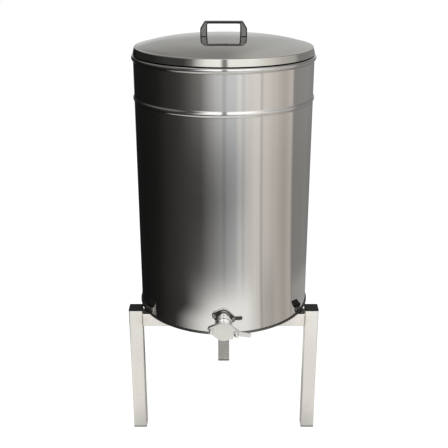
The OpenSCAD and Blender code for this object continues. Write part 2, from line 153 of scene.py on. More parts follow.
class Graph:
    """A node tree that is written as Python expressions."""

    MIX_FACTOR, MIX_LOW, MIX_HIGH, MIX_COLOUR = 0, 6, 7, 2

    def __init__(self, tree: bpy.types.NodeTree) -> None:
        """Starts from an empty tree."""
        self.tree = tree
        self.tree.nodes.clear()

    def node(self, kind: str, settings: Optional[dict[str, Any]] = None,
             inputs: Optional[dict[Any, Any]] = None) -> bpy.types.Node:
        """Adds any node.

        Args:
            kind: the node's type.
            settings: its properties, set first; stops is a list of a ramp's places and colours.
            inputs: a value or a Socket for each named or numbered input.

        Returns:
            The new node.
        """
        node = self.tree.nodes.new(kind)
        for key, setting in (settings or {}).items():
            if key == "stops":
                self._set_stops(node.color_ramp, setting)
            else:
                setattr(node, key, setting)
        for key, value in (inputs or {}).items():
            self.feed(node.inputs[key], value)
        return node

    def value(self, kind: str, settings: Optional[dict[str, Any]] = None,
              inputs: Optional[dict[Any, Any]] = None, output: Union[int, str] = 0) -> Socket:
        """Adds any node and gives one of its outputs.

        Args:
            kind: the node's type.
            settings: its properties.
            inputs: its inputs.
            output: name or number of the output.

        Returns:
            That output.
        """
        return Socket(self, self.node(kind, settings, inputs).outputs[output])

    def feed(self, target: bpy.types.NodeSocket, value: Any) -> None:
        """Links a Socket to an input, or sets a plain value on it."""
        if isinstance(value, Socket):
            self.tree.links.new(value.output, target)
        else:
            target.default_value = value

    @staticmethod
    def _set_stops(ramp: bpy.types.ColorRamp, stops: Sequence[tuple[float, Colour]]) -> None:
        """Fills a ramp with stops in rising order."""
        while len(ramp.elements) < len(stops):
            ramp.elements.new(1.0)
        for element, (place, colour) in zip(ramp.elements, stops):
            element.position = place
            element.color = (*colour, 1.0)

    def position(self, centre: Place = (0.0, 0.0, 0.0), scale: Place = (1.0, 1.0, 1.0)) -> Socket:
        """Object coordinates, in metres.

        Args:
            centre: the point that becomes zero.
            scale: stretch along each axis after that.

        Returns:
            The centred and stretched coordinates.
        """
        raw = self.value("ShaderNodeTexCoord", output="Object")
        shift = self.value("ShaderNodeVectorMath", {"operation": "SUBTRACT"}, {0: raw, 1: centre})
        return self.value("ShaderNodeMapping", {}, {"Vector": shift, "Scale": scale})

    def split(self, vector: Socket) -> tuple[Socket, Socket, Socket]:
        """The three parts of a vector."""
        node = self.node("ShaderNodeSeparateXYZ", {}, {0: vector})
        return tuple(Socket(self, output) for output in node.outputs)

    def join(self, x: Number, y: Number, z: Number) -> Socket:
        """A vector from three values."""
        return self.value("ShaderNodeCombineXYZ", {}, {0: x, 1: y, 2: z})

    def noise(self, vector: Socket, scale: float, detail: float = 2.0, blend: float = 0.5) -> Socket:
        """Noise about 0.5.

        Args:
            vector: where it is read.
            scale: how fine it is.
            detail: number of finer layers.
            blend: strength of the finer layers.

        Returns:
            A value from 0 to 1.
        """
        inputs = {"Vector": vector, "Scale": scale, "Detail": detail, "Roughness": blend}
        return self.value("ShaderNodeTexNoise", {}, inputs, "Fac")

    def tint(self, factor: Number, low: Any, high: Any) -> Socket:
        """Colour between two colours.

        Args:
            factor: 0 gives low, 1 gives high.
            low: colour or Socket.
            high: colour or Socket.

        Returns:
            The mixed colour.
        """
        paints = [(*c, 1.0) if isinstance(c, tuple) else c for c in (low, high)]
        inputs = {self.MIX_FACTOR: factor, self.MIX_LOW: paints[0], self.MIX_HIGH: paints[1]}
        return self.value("ShaderNodeMix", {"data_type": "RGBA"}, inputs, self.MIX_COLOUR)

    def scale(self, colour: Socket, factor: Number) -> Socket:
        """A colour times a number."""
        return self.value("ShaderNodeVectorMath", {"operation": "SCALE"}, {0: colour, "Scale": factor})

    def bump(self, height: Socket, strength: float, distance: float,
             under: Optional[Socket] = None) -> Socket:
        """Normal that follows a height.

        Args:
            height: the height pattern.
            strength: how much of it shows.
            distance: height of a full step in metres.
            under: another bump that this one lies on.

        Returns:
            The normal.
        """
        inputs = {"Height": height, "Strength": strength, "Distance": distance}
        if under is not None:
            inputs["Normal"] = under
        return self.value("ShaderNodeBump", {}, inputs)


def scaled(parts: Sequence[float], factor: float) -> tuple[float, ...]:
    """A colour, a place or a point times a factor."""
    return tuple(part * factor for part in parts)


@dataclass(frozen=True)
class Finish:
    """A surface finish that becomes one material."""

    name: str
    colour: Colour
    roughness: float

    def material(self) -> bpy.types.Material:
        """Makes the finish's material, once.

        Returns:
            The material.
        """
        made = bpy.data.materials.get(self.name)
        if made is not None:
            return made
        made = bpy.data.materials.new(self.name)
        made.use_nodes = True
        graph = Graph(made.node_tree)
        shader = graph.node("ShaderNodeBsdfPrincipled", {}, self.fixed())
        for name, value in self.varied(graph).items():
            graph.feed(shader.inputs[name], value)
        graph.node("ShaderNodeOutputMaterial", {}, {"Surface": Socket(graph, shader.outputs[0])})
        return made

    def fixed(self) -> dict[str, Any]:
        """Inputs that are the same all over the surface."""
        return {"Metallic": 1.0}

    def varied(self, graph: Graph) -> dict[str, Any]:
        """Inputs that change over the surface."""
        raise NotImplementedError


@dataclass(frozen=True)
class RolledSheet(Finish):
    """Polished sheet with fine marks that run round the upright axis of the tank."""

    stretch: float = 0.9
    line_scale: float = 900.0
    seam: bool = False
    rubbed: Optional[Point] = None
    metal: float = 1.0

    def fixed(self) -> dict[str, Any]:
        """Metal whose shine is drawn out across the marks."""
        return {"Metallic": self.metal, "Anisotropic": self.stretch, "Anisotropic Rotation": 0.25}

    def varied(self, graph: Graph) -> dict[str, Any]:
        """Ring marks, faint clouds, a slight waviness, the seam and the part that is rubbed bright."""
        place = graph.position((0.0, AXIS_Y * MM, 0.0))
        x, y, z = graph.split(place)
        angle = x.math("ARCTAN2", -y)
        radius = (x * x + y * y) ** 0.5
        rings = graph.join(angle * 0.006, radius, z)
        marks = graph.noise(rings, self.line_scale, 3.0, 0.7)
        clouds = graph.noise(place, 9.0, 3.0)
        waves = graph.noise(graph.join(angle * 0.6, radius, z * 0.35), 5.0, 1.0)
        colour = graph.tint(marks, scaled(self.colour, 0.93), scaled(self.colour, 1.04))
        roughness = self.roughness * (1.0 + (marks - 0.5) * 0.5 + (clouds - 0.5) * 0.4)
        if self.seam:
            weld = abs(angle).step(*SEAM_EDGE)
            colour = graph.tint(weld, colour, scaled(self.colour, 0.72))
            roughness = roughness + weld * 0.22
        if self.rubbed is not None:
            roughness = roughness * (0.30 + z.step(*scaled(self.rubbed, MM)) * 0.70)
        ripple = graph.bump(waves * radius.step(0.03, 0.21), 0.10, 0.004)
        normal = graph.bump(marks, 0.05, 0.0002, ripple)
        return {"Base Color": colour, "Roughness": roughness, "Normal": normal}


@dataclass(frozen=True)
class TubeSteel(Finish):
    """Bright rolled tube with lengthways marks, straw and blue tints beside its welds, and painted
    shade on its upper faces there.
    """

    grain: Grain = Grain.UPRIGHT
    welds: tuple[Place, ...] = ()

    def fixed(self) -> dict[str, Any]:
        """Satin metal that also scatters a little light."""
        return {"Metallic": 0.80}

    def varied(self, graph: Graph) -> dict[str, Any]:
        """Lengthways marks, soft clouds, heat tints, and painted shade on the upper faces near the
        welds.
        """
        place = graph.position()
        marks = graph.noise(graph.position(scale=self.grain.value), 420.0, 2.0, 0.5)
        clouds = graph.noise(place, 9.0, 2.0)
        colour = graph.tint(marks, scaled(self.colour, 0.98), scaled(self.colour, 1.01))
        colour = graph.tint(clouds.step(0.35, 0.75) * 0.20, colour, scaled(self.colour, 0.94))
        roughness = self.roughness + (marks - 0.5) * 0.03 + (clouds - 0.5) * 0.08
        up = graph.split(graph.value("ShaderNodeNewGeometry", output="Normal"))[2].step(0.7, 0.95)
        for spot in self.welds:
            away = graph.value("ShaderNodeVectorMath", {"operation": "DISTANCE"},
                               {0: place, 1: scaled(spot, MM)}, "Value")
            away = away + (clouds - 0.5) * 0.006
            straw = 1.0 - away.step(0.022, 0.034)
            blue = 1.0 - away.step(0.020, 0.026)
            colour = graph.tint(straw * 0.10, colour, (0.62, 0.47, 0.26))
            colour = graph.tint(blue * 0.06, colour, (0.30, 0.31, 0.40))
            # Painted shade: upper faces near each weld are darkened almost to black, standing in for
            # shade and the tank wall's dark mirror image.
            colour = graph.tint(up * (1.0 - away.step(0.05, 0.09)) * 0.9, colour, (0.05, 0.045, 0.04))
        normal = graph.bump(marks, 0.008, 0.0002)
        return {"Base Color": colour, "Roughness": roughness, "Normal": normal}


@dataclass(frozen=True)
class CastSteel(Finish):
    """Cast and polished steel with a faint skin texture and rubbed high spots."""

    skin: float = 0.10

    def varied(self, graph: Graph) -> dict[str, Any]:
        """Skin texture, polishing swirls and clouds."""
        place = graph.position()
        skin = graph.noise(place, 900.0, 3.0, 0.6)
        swirl = graph.noise(graph.position(scale=(1.0, 1.0, 0.12)), 420.0, 2.0, 0.6)
        clouds = graph.noise(place, 60.0, 2.0)
        colour = graph.tint(clouds, scaled(self.colour, 0.92), scaled(self.colour, 1.04))
        roughness = self.roughness * (1.0 + (swirl - 0.5) * 0.6 + (clouds - 0.5) * 0.5)
        normal = graph.bump(skin, self.skin, 0.0003)
        return {"Base Color": colour, "Roughness": roughness, "Normal": normal}


@dataclass(frozen=True)
class WeldMetal(Finish):
    """Weld bead with ripples, darker in its hollows."""

    def varied(self, graph: Graph) -> dict[str, Any]:
        """Grainy metal with brown and blue oxide."""
        place = graph.position()
        grains = graph.noise(place, 700.0, 3.0, 0.6)
        oxide = graph.noise(place, 160.0, 2.0)
        colour = graph.tint(oxide.step(0.35, 0.7), self.colour, (0.46, 0.43, 0.385))
        roughness = self.roughness + (grains - 0.5) * 0.3
        normal = graph.bump(grains, 0.25, 0.0004)
        return {"Base Color": colour, "Roughness": roughness, "Normal": normal}


@dataclass(frozen=True)
class Moulded(Finish):
    """Moulded plastic or rubber with a fine grain and a little dust on its upper faces."""

    grain_scale: float = 1800.0
    grain_depth: float = 0.10
    dust: float = 0.03
    shine: float = 0.5

    def fixed(self) -> dict[str, Any]:
        """Plastic without metal."""
        return {"Metallic": 0.0, "Specular IOR Level": self.shine}

    def varied(self, graph: Graph) -> dict[str, Any]:
        """Grain, rubbed patches and dust."""
        place = graph.position()
        grain = graph.noise(place, self.grain_scale, 2.0, 0.6)
        rubbed = graph.noise(place, 55.0, 3.0)
        up = graph.split(graph.value("ShaderNodeNewGeometry", output="Normal"))[2]
        settled = up.step(0.5, 0.95) * rubbed.step(0.3, 0.8) * self.dust
        colour = graph.tint(grain, scaled(self.colour, 0.8), scaled(self.colour, 1.2))
        colour = graph.tint(settled, colour, (0.45, 0.44, 0.42))
        roughness = self.roughness + (rubbed - 0.5) * 0.16 + (grain - 0.5) * 0.12
        normal = graph.bump(grain, self.grain_depth, 0.0003)
        return {"Base Color": colour, "Roughness": roughness, "Normal": normal}


class Outline:
    """Points of a flat outline or section, in millimetres."""

    def __init__(self, *points: Point) -> None:
        """Starts from some points."""
        self.points: list[Point] = list(points)

    def to(self, *points: Point) -> "Outline":
        """Goes on in straight lines."""
        self.points.extend(points)
        return self

    def arc(self, centre: Point, radius: float, start: float, end: float, steps: int = 8) -> "Outline":
        """Goes on along a circle.

        Args:
            centre: middle of the circle.
            radius: its radius.
            start: angle of the first point in degrees.
            end: angle of the last point.
            steps: number of chords.

        Returns:
            This outline.
        """
        for i in range(steps + 1):
            turn = math.radians(start + (end - start) * i / steps)
            across, up = radius * math.cos(turn), radius * math.sin(turn)
            self.points.append((centre[0] + across, centre[1] + up))
        return self


class Workpiece:
    """A mesh in the making, in millimetres, shaped with bmesh operators."""

    def __init__(self) -> None:
        """Starts with nothing."""
        self.bm = bmesh.new()

    def spin(self, section: Outline, closed: bool = True, steps: int = ROUND_STEPS) -> "Workpiece":
        """Turns a section once round +Z.

        Args:
            section: distances from the axis, and heights.
            closed: whether the last point joins the first.
            steps: number of facets round the axis.

        Returns:
            This piece.
        """
        verts = [self.bm.verts.new((r, 0.0, z)) for r, z in section.points]
        edges = [self.bm.edges.new(pair) for pair in zip(verts, verts[1:])]
        if closed:
            edges.append(self.bm.edges.new((verts[-1], verts[0])))
        bmesh.ops.spin(self.bm, geom=verts + edges, cent=(0, 0, 0), axis=(0, 0, 1), dvec=(0, 0, 0),
                       angle=TURN, steps=steps, use_merge=True, use_duplicate=False)
        return self

    def plate(self, outline: Outline, low: float, high: float) -> "Workpiece":
        """Raises a flat outline into a plate along +Z.

        Args:
            outline: points in the XY plane.
            low: height of its underside.
            high: height of its upper side.

        Returns:
            This piece.
        """
        face = self.bm.faces.new([self.bm.verts.new((x, y, low)) for x, y in outline.points])
        raised = bmesh.ops.extrude_face_region(self.bm, geom=[face], use_keep_orig=True)
        verts = [v for v in raised["geom"] if isinstance(v, bmesh.types.BMVert)]
        bmesh.ops.translate(self.bm, verts=verts, vec=(0, 0, high - low))
        return self

    def loft(self, loops: Sequence[tuple[Outline, float]]) -> "Workpiece":
        """Joins outlines at different heights by skins, and the last one to the first.

        Args:
            loops: each outline with its height.

        Returns:
            This piece.
        """
        rings = []
        for outline, height in loops:
            verts = [self.bm.verts.new((x, y, height)) for x, y in outline.points]
            rings.append([self.bm.edges.new(pair) for pair in zip(verts, verts[1:] + verts[:1])])
        for near, far in zip(rings, rings[1:] + rings[:1]):
            bmesh.ops.bridge_loops(self.bm, edges=near + far)
        return self

    def prism(self, sides: int, radius: float, low: float, high: float) -> "Workpiece":
        """Adds an upright prism with that many sides."""
        bmesh.ops.create_cone(self.bm, cap_ends=True, cap_tris=False, segments=sides, radius1=radius,
                              radius2=radius, depth=high - low,
                              matrix=Matrix.Translation((0, 0, (high + low) / 2)))
        return self

    def round_edges(self, width: float, segments: int = 3, least: float = 40.0,
                    where: Optional[Callable[[bmesh.types.BMEdge], bool]] = None) -> "Workpiece":
        """Rounds edges that turn by more than an angle.

        Args:
            width: how far the rounding reaches into each face.
            segments: number of facets across the rounding.
            least: least turn in degrees.
            where: a further test that an edge must pass.

        Returns:
            This piece.
        """
        self.clean()
        limit = math.radians(least)
        edges = [e for e in self.bm.edges if len(e.link_faces) == 2 and e.calc_face_angle() > limit
                 and (where is None or where(e))]
        bmesh.ops.bevel(self.bm, geom=edges, offset=width, offset_type="OFFSET", segments=segments,
                        profile=0.5, affect="EDGES", clamp_overlap=True, material=-1)
        return self

    def move(self, matrix: Matrix) -> "Workpiece":
        """Moves everything made so far."""
        bmesh.ops.transform(self.bm, matrix=matrix, verts=self.bm.verts)
        return self

    def shift(self, rule: Callable[[Vector], Vector]) -> "Workpiece":
        """Moves each point by a rule of its place."""
        for vert in self.bm.verts:
            vert.co = rule(vert.co)
        return self

    def clean(self) -> "Workpiece":
        """Merges doubles and turns all faces outwards."""
        bmesh.ops.remove_doubles(self.bm, verts=self.bm.verts, dist=0.0005)
        bmesh.ops.recalc_face_normals(self.bm, faces=self.bm.faces)
        return self

    def take(self, other: "Workpiece") -> "Workpiece":
        """Adds another piece's mesh to this one."""
        mesh = bpy.data.meshes.new("part")
        other.clean().bm.to_mesh(mesh)
        other.bm.free()
        self.bm.from_mesh(mesh)
        bpy.data.meshes.remove(mesh)
        return self

    def second_finish(self, where: Callable[[bmesh.types.BMFace], bool]) -> "Workpiece":
        """Gives the faces that pass a test the second material."""
        for face in self.clean().bm.faces:
            face.material_index = int(where(face))
        return self

    def done(self, name: str, finishes: Sequence[Finish], edge: Edge = Edge.CUT,
             even: bool = False) -> bpy.types.Object:
        """Turns the mesh into an object in metres.

        Args:
            name: the object's name.
            finishes: its materials in slot order.
            edge: from which turn edges are shaded sharp.
            even: whether large flat faces rule the shading beside roundings.

        Returns:
            The object, at the origin.
        """
        self.clean().move(Matrix.Scale(MM, 4))
        sharpen(self.bm, edge)
        mesh = bpy.data.meshes.new(name)
        self.bm.to_mesh(mesh)
        self.bm.free()
        made = bpy.data.objects.new(name, mesh)
        bpy.context.scene.collection.objects.link(made)
        for finish in finishes:
            mesh.materials.append(finish.material())
        if even:
            weighted = made.modifiers.new("even shading", "WEIGHTED_NORMAL")
            weighted.keep_sharp = True
        return made


def height_of(edge: bmesh.types.BMEdge) -> float:
    """How far an edge runs along +Z."""
    return abs(edge.verts[0].co.z - edge.verts[1].co.z)


def looks_back(face: bmesh.types.BMFace) -> bool:
    """Whether a face looks along -Z."""
    return face.normal.z < -0.9


def sharpen(bm: bmesh.types.BMesh, edge: Edge) -> None:
    """Shades all faces smooth, apart from the edges that turn strongly.

    Args:
        bm: the mesh.
        edge: the limit.
    """
    for face in bm.faces:
        face.smooth = True
    for line in bm.edges:
        line.smooth = len(line.link_faces) != 2 or line.calc_face_angle() < math.radians(edge.value)


def settle(piece: bpy.types.Object, body: str, slot: str, *nodes: str) -> bpy.types.Object:
    """Fixes a finished piece to its body, hides the nodes that it replaces and logs it.

    Args:
        piece: the finished object.
        body: the body that carries it.
        slot: the record's material slot; not used.
        nodes: the nodes that it replaces.

    Returns:
        The piece.
    """
    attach(piece, body)
    if nodes:
        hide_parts(*nodes)
    LOG.info("piece %s on %s: %d faces", piece.name, body, len(piece.data.polygons))
    return piece


def dress(node: str, finish: Finish) -> None:
    """Gives a node of the frame its finish.

    Args:
        node: the node's name.
        finish: its finish.
    """
    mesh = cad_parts[node].data
    mesh.materials.clear()
    mesh.materials.append(finish.material())
    LOG.info("node %s in %s", node, finish.name)


def axis_matrix(height: float) -> Matrix:
    """Place of the tank's axis at a height in millimetres."""
    return Matrix.Translation((0.0, AXIS_Y, height))


def front_matrix(height: float) -> Matrix:
    """Place on the tank's axis at a height, with +Z turned to the front."""
    return axis_matrix(height) @ Matrix.Rotation(math.radians(90), 4, "X")


RUBBED_BAND = (BAR_TOP + 60.0, BAR_TOP + 150.0)
TANK_SHEET = RolledSheet("tank sheet", (0.66, 0.655, 0.64), 0.09, stretch=1.0, seam=True,
                         rubbed=RUBBED_BAND)
INNER_SHEET = RolledSheet("inner sheet", (0.70, 0.695, 0.68), 0.30, stretch=0.5, seam=True, metal=0.7)
# Painted shade: the outside of the base and its rim get a near-black copy of the sheet, standing in for
# the shade under the rim.
BASE_OUTSIDE_PAINTED_SHADE = RolledSheet("base outside painted shade", (0.13, 0.127, 0.12), 0.18)
PAN_SHEET = RolledSheet("pan sheet", (0.64, 0.635, 0.62), 0.26, stretch=0.4, metal=0.8)
LID_SHEET = RolledSheet("lid sheet", (0.668, 0.655, 0.607), 0.07, stretch=0.4)
GATE_STEEL = CastSteel("gate steel", (0.70, 0.69, 0.66), 0.24, skin=0.05)
# Partly painted highlight: the casting's neck and front are polished steel, with a base colour raised
# well above the gate steel's to stand in for the light they catch.
NECK_STEEL_PAINTED_BRIGHT = CastSteel("neck steel painted bright", (0.92, 0.915, 0.895), 0.07, skin=0.01)
# Painted shade: the back faces of the gate's plate and blade get a dark, rough copy of the gate steel,
# where polished steel would mirror the bright wall.
BACK_SHADE_STEEL = CastSteel("back steel painted shade", (0.20, 0.195, 0.18), 0.42, skin=0.20)
SOCKET_STEEL = CastSteel("socket steel", (0.84, 0.835, 0.815), 0.14, skin=0.02)
NUT_STEEL = CastSteel("nut steel", (0.80, 0.80, 0.78), 0.16, skin=0.04)
BOLT_STEEL = CastSteel("bolt steel", (0.70, 0.70, 0.69), 0.28, skin=0.06)
WELD_METAL = WeldMetal("weld metal", (0.56, 0.54, 0.50), 0.38)
CAP_PLASTIC = Moulded("cap plastic", (0.006, 0.006, 0.006), 0.50, dust=0.006, shine=0.2)
GRIP_EDGE = Moulded("grip edge", (0.008, 0.008, 0.009), 0.30, dust=0.0, shine=0.3)
# The handle's face panels: the grain is real, and the lighter grey beside the near-black edges is
# painted light standing in for light from the front.
GRIP_PANEL_PAINTED_LIT = Moulded("grip panel painted light", (0.118, 0.117, 0.113), 0.45, grain_scale=900.0, dust=0.0)
RUBBER = Moulded("seal rubber", (0.030, 0.030, 0.032), 0.60, shine=0.3)


@dataclass
class Bead:
    """A bead rolled outwards in the wall, in millimetres."""

    height: float
    out: float
    radius: float
    fillet: float
    below: float
    above: float
    lead: float = 1.5

    def middle(self, wall: float) -> Point:
        """Middle of the bead's circle."""
        return wall + self.out - self.radius, self.height

    def outside(self, line: Outline, wall: float) -> None:
        """Draws the outer side upwards, with a fillet at each foot.

        Args:
            line: the outline that goes on.
            wall: outer radius of the plain wall.
        """
        mid = self.middle(wall)
        for side, foot in ((-1, self.below), (1, self.above)):
            reach = foot + self.fillet - mid[0]
            rise = math.sqrt((self.radius + self.fillet) ** 2 - reach ** 2)
            lean = math.degrees(math.atan2(rise, reach))
            corner = (foot + self.fillet, self.height + side * rise)
            if side < 0:
                line.to((foot, corner[1] - self.lead))
                line.arc(corner, self.fillet, 180.0, 180.0 - lean, 7)
                low = -lean
            else:
                line.arc(mid, self.radius, low, lean, 16)
                line.arc(corner, self.fillet, 180.0 + lean, 180.0, 7)
                line.to((foot, corner[1] + self.lead))

    def inside(self, line: Outline, wall: float, sheet: float) -> None:
        """Draws the hollow of the bead downwards.

        Args:
            line: the outline that goes on.
            wall: outer radius of the plain wall.
            sheet: thickness of the sheet.
        """
        mid = self.middle(wall)
        inner = self.radius - sheet
        high, low = [math.acos((foot - sheet - mid[0]) / inner) for foot in (self.above, self.below)]
        line.to((self.above - sheet, self.height + inner * math.sin(high) + self.lead))
        line.arc(mid, inner, math.degrees(high), -math.degrees(low), 16)
        line.to((self.below - sheet, self.height - inner * math.sin(low) - self.lead))


@dataclass
class Tank:
    """Rolled wall and folded base of the tank, in millimetres."""

    radius: float = 250.0
    height: float = 761.0
    sheet: float = 1.0
    neck: float = 245.5
    hem: float = 8.0
    foot: float = 1.2
    rim_out: float = 4.0
    rim_height: float = 6.5
    fold: float = 3.0
    outlet: float = 33.0
    hole: float = 20.2
    hole_band: float = 23.0
    low_bead: Bead = field(default_factory=lambda: Bead(623.5, 3.0, 9.0, 5.0, 250.0, 250.0))
    high_bead: Bead = field(default_factory=lambda: Bead(733.5, 5.0, 7.0, 4.0, 250.0, 245.5))

    def section(self) -> Outline:
        """Section of the wall, up its outer side and down its inner side."""
        band = (self.outlet - self.hole_band, self.outlet + self.hole_band)
        inner = self.radius - self.sheet
        line = Outline((self.radius, self.foot), (self.radius, band[0]), (self.radius, band[1]))
        self.low_bead.outside(line, self.radius)
        self.high_bead.outside(line, self.radius)
        middle = self.neck - self.sheet
        line.to((self.neck, self.height - self.sheet - 1.0))
        line.arc((middle, self.height - self.sheet), self.sheet, 0.0, 180.0, 10)
        line.to((middle - self.sheet, self.height - self.hem), (middle, self.height - self.hem))
        self.high_bead.inside(line, self.radius, self.sheet)
        self.low_bead.inside(line, self.radius, self.sheet)
        return line.to((inner, band[1]), (inner, band[0]), (inner, self.foot))

    @staticmethod
    def looks_in(face: bmesh.types.BMFace) -> bool:
        """Whether a face looks towards the axis."""
        out = face.calc_center_median()
        out.z = 0.0
        return face.normal.dot(out.normalized()) < -0.2

    def wall(self) -> bpy.types.Object:
        """Builds the wall and cuts its outlet hole."""
        piece = Workpiece().spin(self.section()).second_finish(self.looks_in)
        piece.move(axis_matrix(BAR_TOP))
        wall = piece.done("wall_sheet", [TANK_SHEET, INNER_SHEET], Edge.ROLLED)
        reach = 12.0
        cutter = Workpiece().prism(64, self.hole, self.radius - reach, self.radius + reach)
        cut_away(wall, cutter.move(front_matrix(BAR_TOP + self.outlet)).done("outlet_cutter", []))
        return settle(wall, "tank", "tank_steel", "tank_shell")

    def base(self) -> bpy.types.Object:
        """Builds the flat base with its curled rim, its outside in painted shade."""
        out = self.radius + self.rim_out
        seam = self.radius + 0.15
        bevel = 0.3
        line = Outline((0.0, 0.0), (out - self.fold - 1.5, 0.0))
        line.arc((out - self.fold, self.fold), self.fold, -90.0, 0.0, 10)
        line.arc((out - self.fold, self.rim_height - self.fold), self.fold, 0.0, 90.0, 10)
        line.to((seam + bevel, self.rim_height), (seam, self.rim_height - bevel))
        line.to((seam, self.sheet), (0.0, self.sheet))
        inside = self.radius - self.sheet
        piece = Workpiece().spin(line, closed=False)
        piece.second_finish(lambda face: face.calc_center_median().xy.length < inside)
        pan = piece.move(axis_matrix(BAR_TOP)).done("base_pan", [BASE_OUTSIDE_PAINTED_SHADE, PAN_SHEET], Edge.ROLLED)
        return settle(pan, "tank", "tank_steel", "tank_base")

    def build(self) -> None:
        """Builds the wall and the base."""
        self.wall()
        self.base()


def cut_away(piece: bpy.types.Object, cutter: bpy.types.Object) -> None:
    """Cuts one object out of another and removes the cutter.

    Args:
        piece: the object that is cut.
        cutter: the shape of the hole.
    """
    cut = piece.modifiers.new("hole", "BOOLEAN")
    cut.object = cutter
    cut.operation = "DIFFERENCE"
    cut.solver = "EXACT"
    bpy.context.view_layer.update()
    shown = piece.evaluated_get(bpy.context.evaluated_depsgraph_get())
    mesh = bpy.data.meshes.new_from_object(shown)
    piece.modifiers.clear()
    old, piece.data = piece.data, mesh
    mesh.name = piece.name
    bpy.data.meshes.remove(old)
    bpy.data.objects.remove(cutter)
    bm = bmesh.new()
    bm.from_mesh(mesh)
    sharpen(bm, Edge.ROLLED)
    bm.to_mesh(mesh)
    bm.free()


@dataclass
class Lid:
    """Spun lid with a skirt, and its bridge handle, in millimetres."""

    radius: float = 247.0
    sheet: float = 1.0
    skirt: float = 18.0
    corner: float = 2.5
    flare: float = 3.5
    dome: float = 242.0
    rise: float = 25.5
    crown: float = 150.0
    crown_curve: float = 1700.0
    grip_length: float = 128.0
    grip_height: float = 40.0
    grip_depth: float = 22.0
    grip_leg: float = 19.0
    grip_bar: float = 6.0
    grip_slant: Point = (12.0, 19.0)
    grip_corner: float = 4.0
    panel_rim: float = 1.3
    panel_depth: float = 0.5

    def crown_drop(self, r: float) -> float:
        """How far the crown has fallen at a distance from the axis."""
        return self.crown_curve - math.sqrt(self.crown_curve ** 2 - r ** 2)

    def dome_line(self, line: Outline, depth: float, inwards: bool) -> None:
        """Draws the crown and the shoulder as two arcs that run into each other.

        Args:
            line: the outline that goes on.
            depth: how far the curve is drawn in.
            inwards: whether the line runs towards the axis.
        """
        crown_turn = math.asin(self.crown / self.crown_curve)
        width = self.dome - self.crown
        fall = self.rise - self.crown_drop(self.crown)
        shoulder_turn = 2 * math.atan(fall / width) - crown_turn
        shoulder = width / (math.sin(shoulder_turn) - math.sin(crown_turn))
        apex = self.sheet + self.rise
        mid = (0.0, apex - self.crown_curve)
        back = self.crown_curve - shoulder
        shoulder_mid = (back * math.sin(crown_turn), mid[1] + back * math.cos(crown_turn))
        turns = [90.0, 90.0 - math.degrees(crown_turn), 90.0 - math.degrees(shoulder_turn)]
        arcs = [(mid, self.crown_curve - depth, turns[0], turns[1], 18),
                (shoulder_mid, shoulder - depth, turns[1], turns[2], 18)]
        for centre, curve, start, end, steps in reversed(arcs) if inwards else arcs:
            ends = (end, start) if inwards else (start, end)
            line.arc(centre, curve, *ends, steps)

    def section(self) -> Outline:
        """Section of the lid from the apex over the skirt and back underneath."""
        line = Outline()
        inner = self.radius - self.sheet
        corner = (self.radius - self.corner, self.sheet - self.corner)
        lead, lip = 0.6, self.sheet / 2
        self.dome_line(line, 0.0, False)
        line.to((self.dome + lead, self.sheet), (corner[0] - lead, self.sheet))
        line.arc(corner, self.corner, 90.0, 0.0, 10)
        low = self.radius + self.flare
        line.to((self.radius, corner[1] - lip), (low, 0.8 - self.skirt))
        line.arc((low - lip, lip - self.skirt), lip, 0.0, -180.0, 8)
        line.to((low - self.sheet, 1.0 - self.skirt), (inner, corner[1] - lip))
        line.arc(corner, self.corner - self.sheet, 0.0, 90.0, 8)
        self.dome_line(line, self.sheet, True)
        return line

    def shell(self) -> bpy.types.Object:
        """Builds the lid."""
        piece = Workpiece().spin(self.section(), closed=False)
        lid = piece.move(axis_matrix(MOUTH_Z)).done("lid_sheet", [LID_SHEET], Edge.ROLLED)
        return settle(lid, "lid", "lid_steel", "lid_shell")

    def grip_outline(self) -> Outline:
        """Side view of the handle with its finger opening."""
        half, top = self.grip_length / 2, self.grip_height
        gap = half - self.grip_leg
        high = top - self.grip_bar
        r = self.grip_corner
        slant_w, slant_h = self.grip_slant
        line = Outline((half, 0.0), (half, top - slant_h), (half - slant_w, top), (slant_w - half, top))
        line.to((-half, top - slant_h), (-half, 0.0), (-gap, 0.0))
        line.arc((r - gap, high - r), r, 180.0, 90.0, 6)
        line.arc((gap - r, high - r), r, 90.0, 0.0, 6)
        return line.to((gap, 0.0))

    def grip(self) -> bpy.types.Object:
        """Builds the handle with rounded edges and grained panels on both faces, the panels painted a
        lighter grey as if lit from the front.
        """
        piece = Workpiece().plate(self.grip_outline(), -self.grip_depth / 2, self.grip_depth / 2)
        foot = 0.01
        piece.round_edges(2.6, 4, 20.0, lambda e: height_of(e) > 1.0
                          and min(v.co.y for v in e.verts) > foot)
        piece.round_edges(1.7, 3, 60.0, lambda e: height_of(e) < 0.01
                          and max(v.co.y for v in e.verts) > foot)
        panels = [f for f in piece.bm.faces if abs(f.normal.z) > 0.99 and f.calc_area() > 500.0]
        bmesh.ops.inset_region(piece.bm, faces=panels, thickness=self.panel_rim,
                               depth=-self.panel_depth, use_even_offset=True, use_boundary=True)
        # The panels take the lighter, painted-light finish.
        for face in panels:
            face.material_index = 1
        drop = self.crown_drop(self.grip_length / 2 - self.grip_leg)
        piece.move(front_matrix(MOUTH_Z + self.sheet + self.rise - drop))
        grip = piece.done("lid_grip", [GRIP_EDGE, GRIP_PANEL_PAINTED_LIT], even=True)
        return settle(grip, "lid", "handle_plastic", "lid_handle")

    def build(self) -> None:
        """Builds lid and handle and dresses the screws and washers under the lid."""
        self.shell()
        self.grip()
        for node in ("handle_screws", "handle_washers"):
            dress(node, BOLT_STEEL)


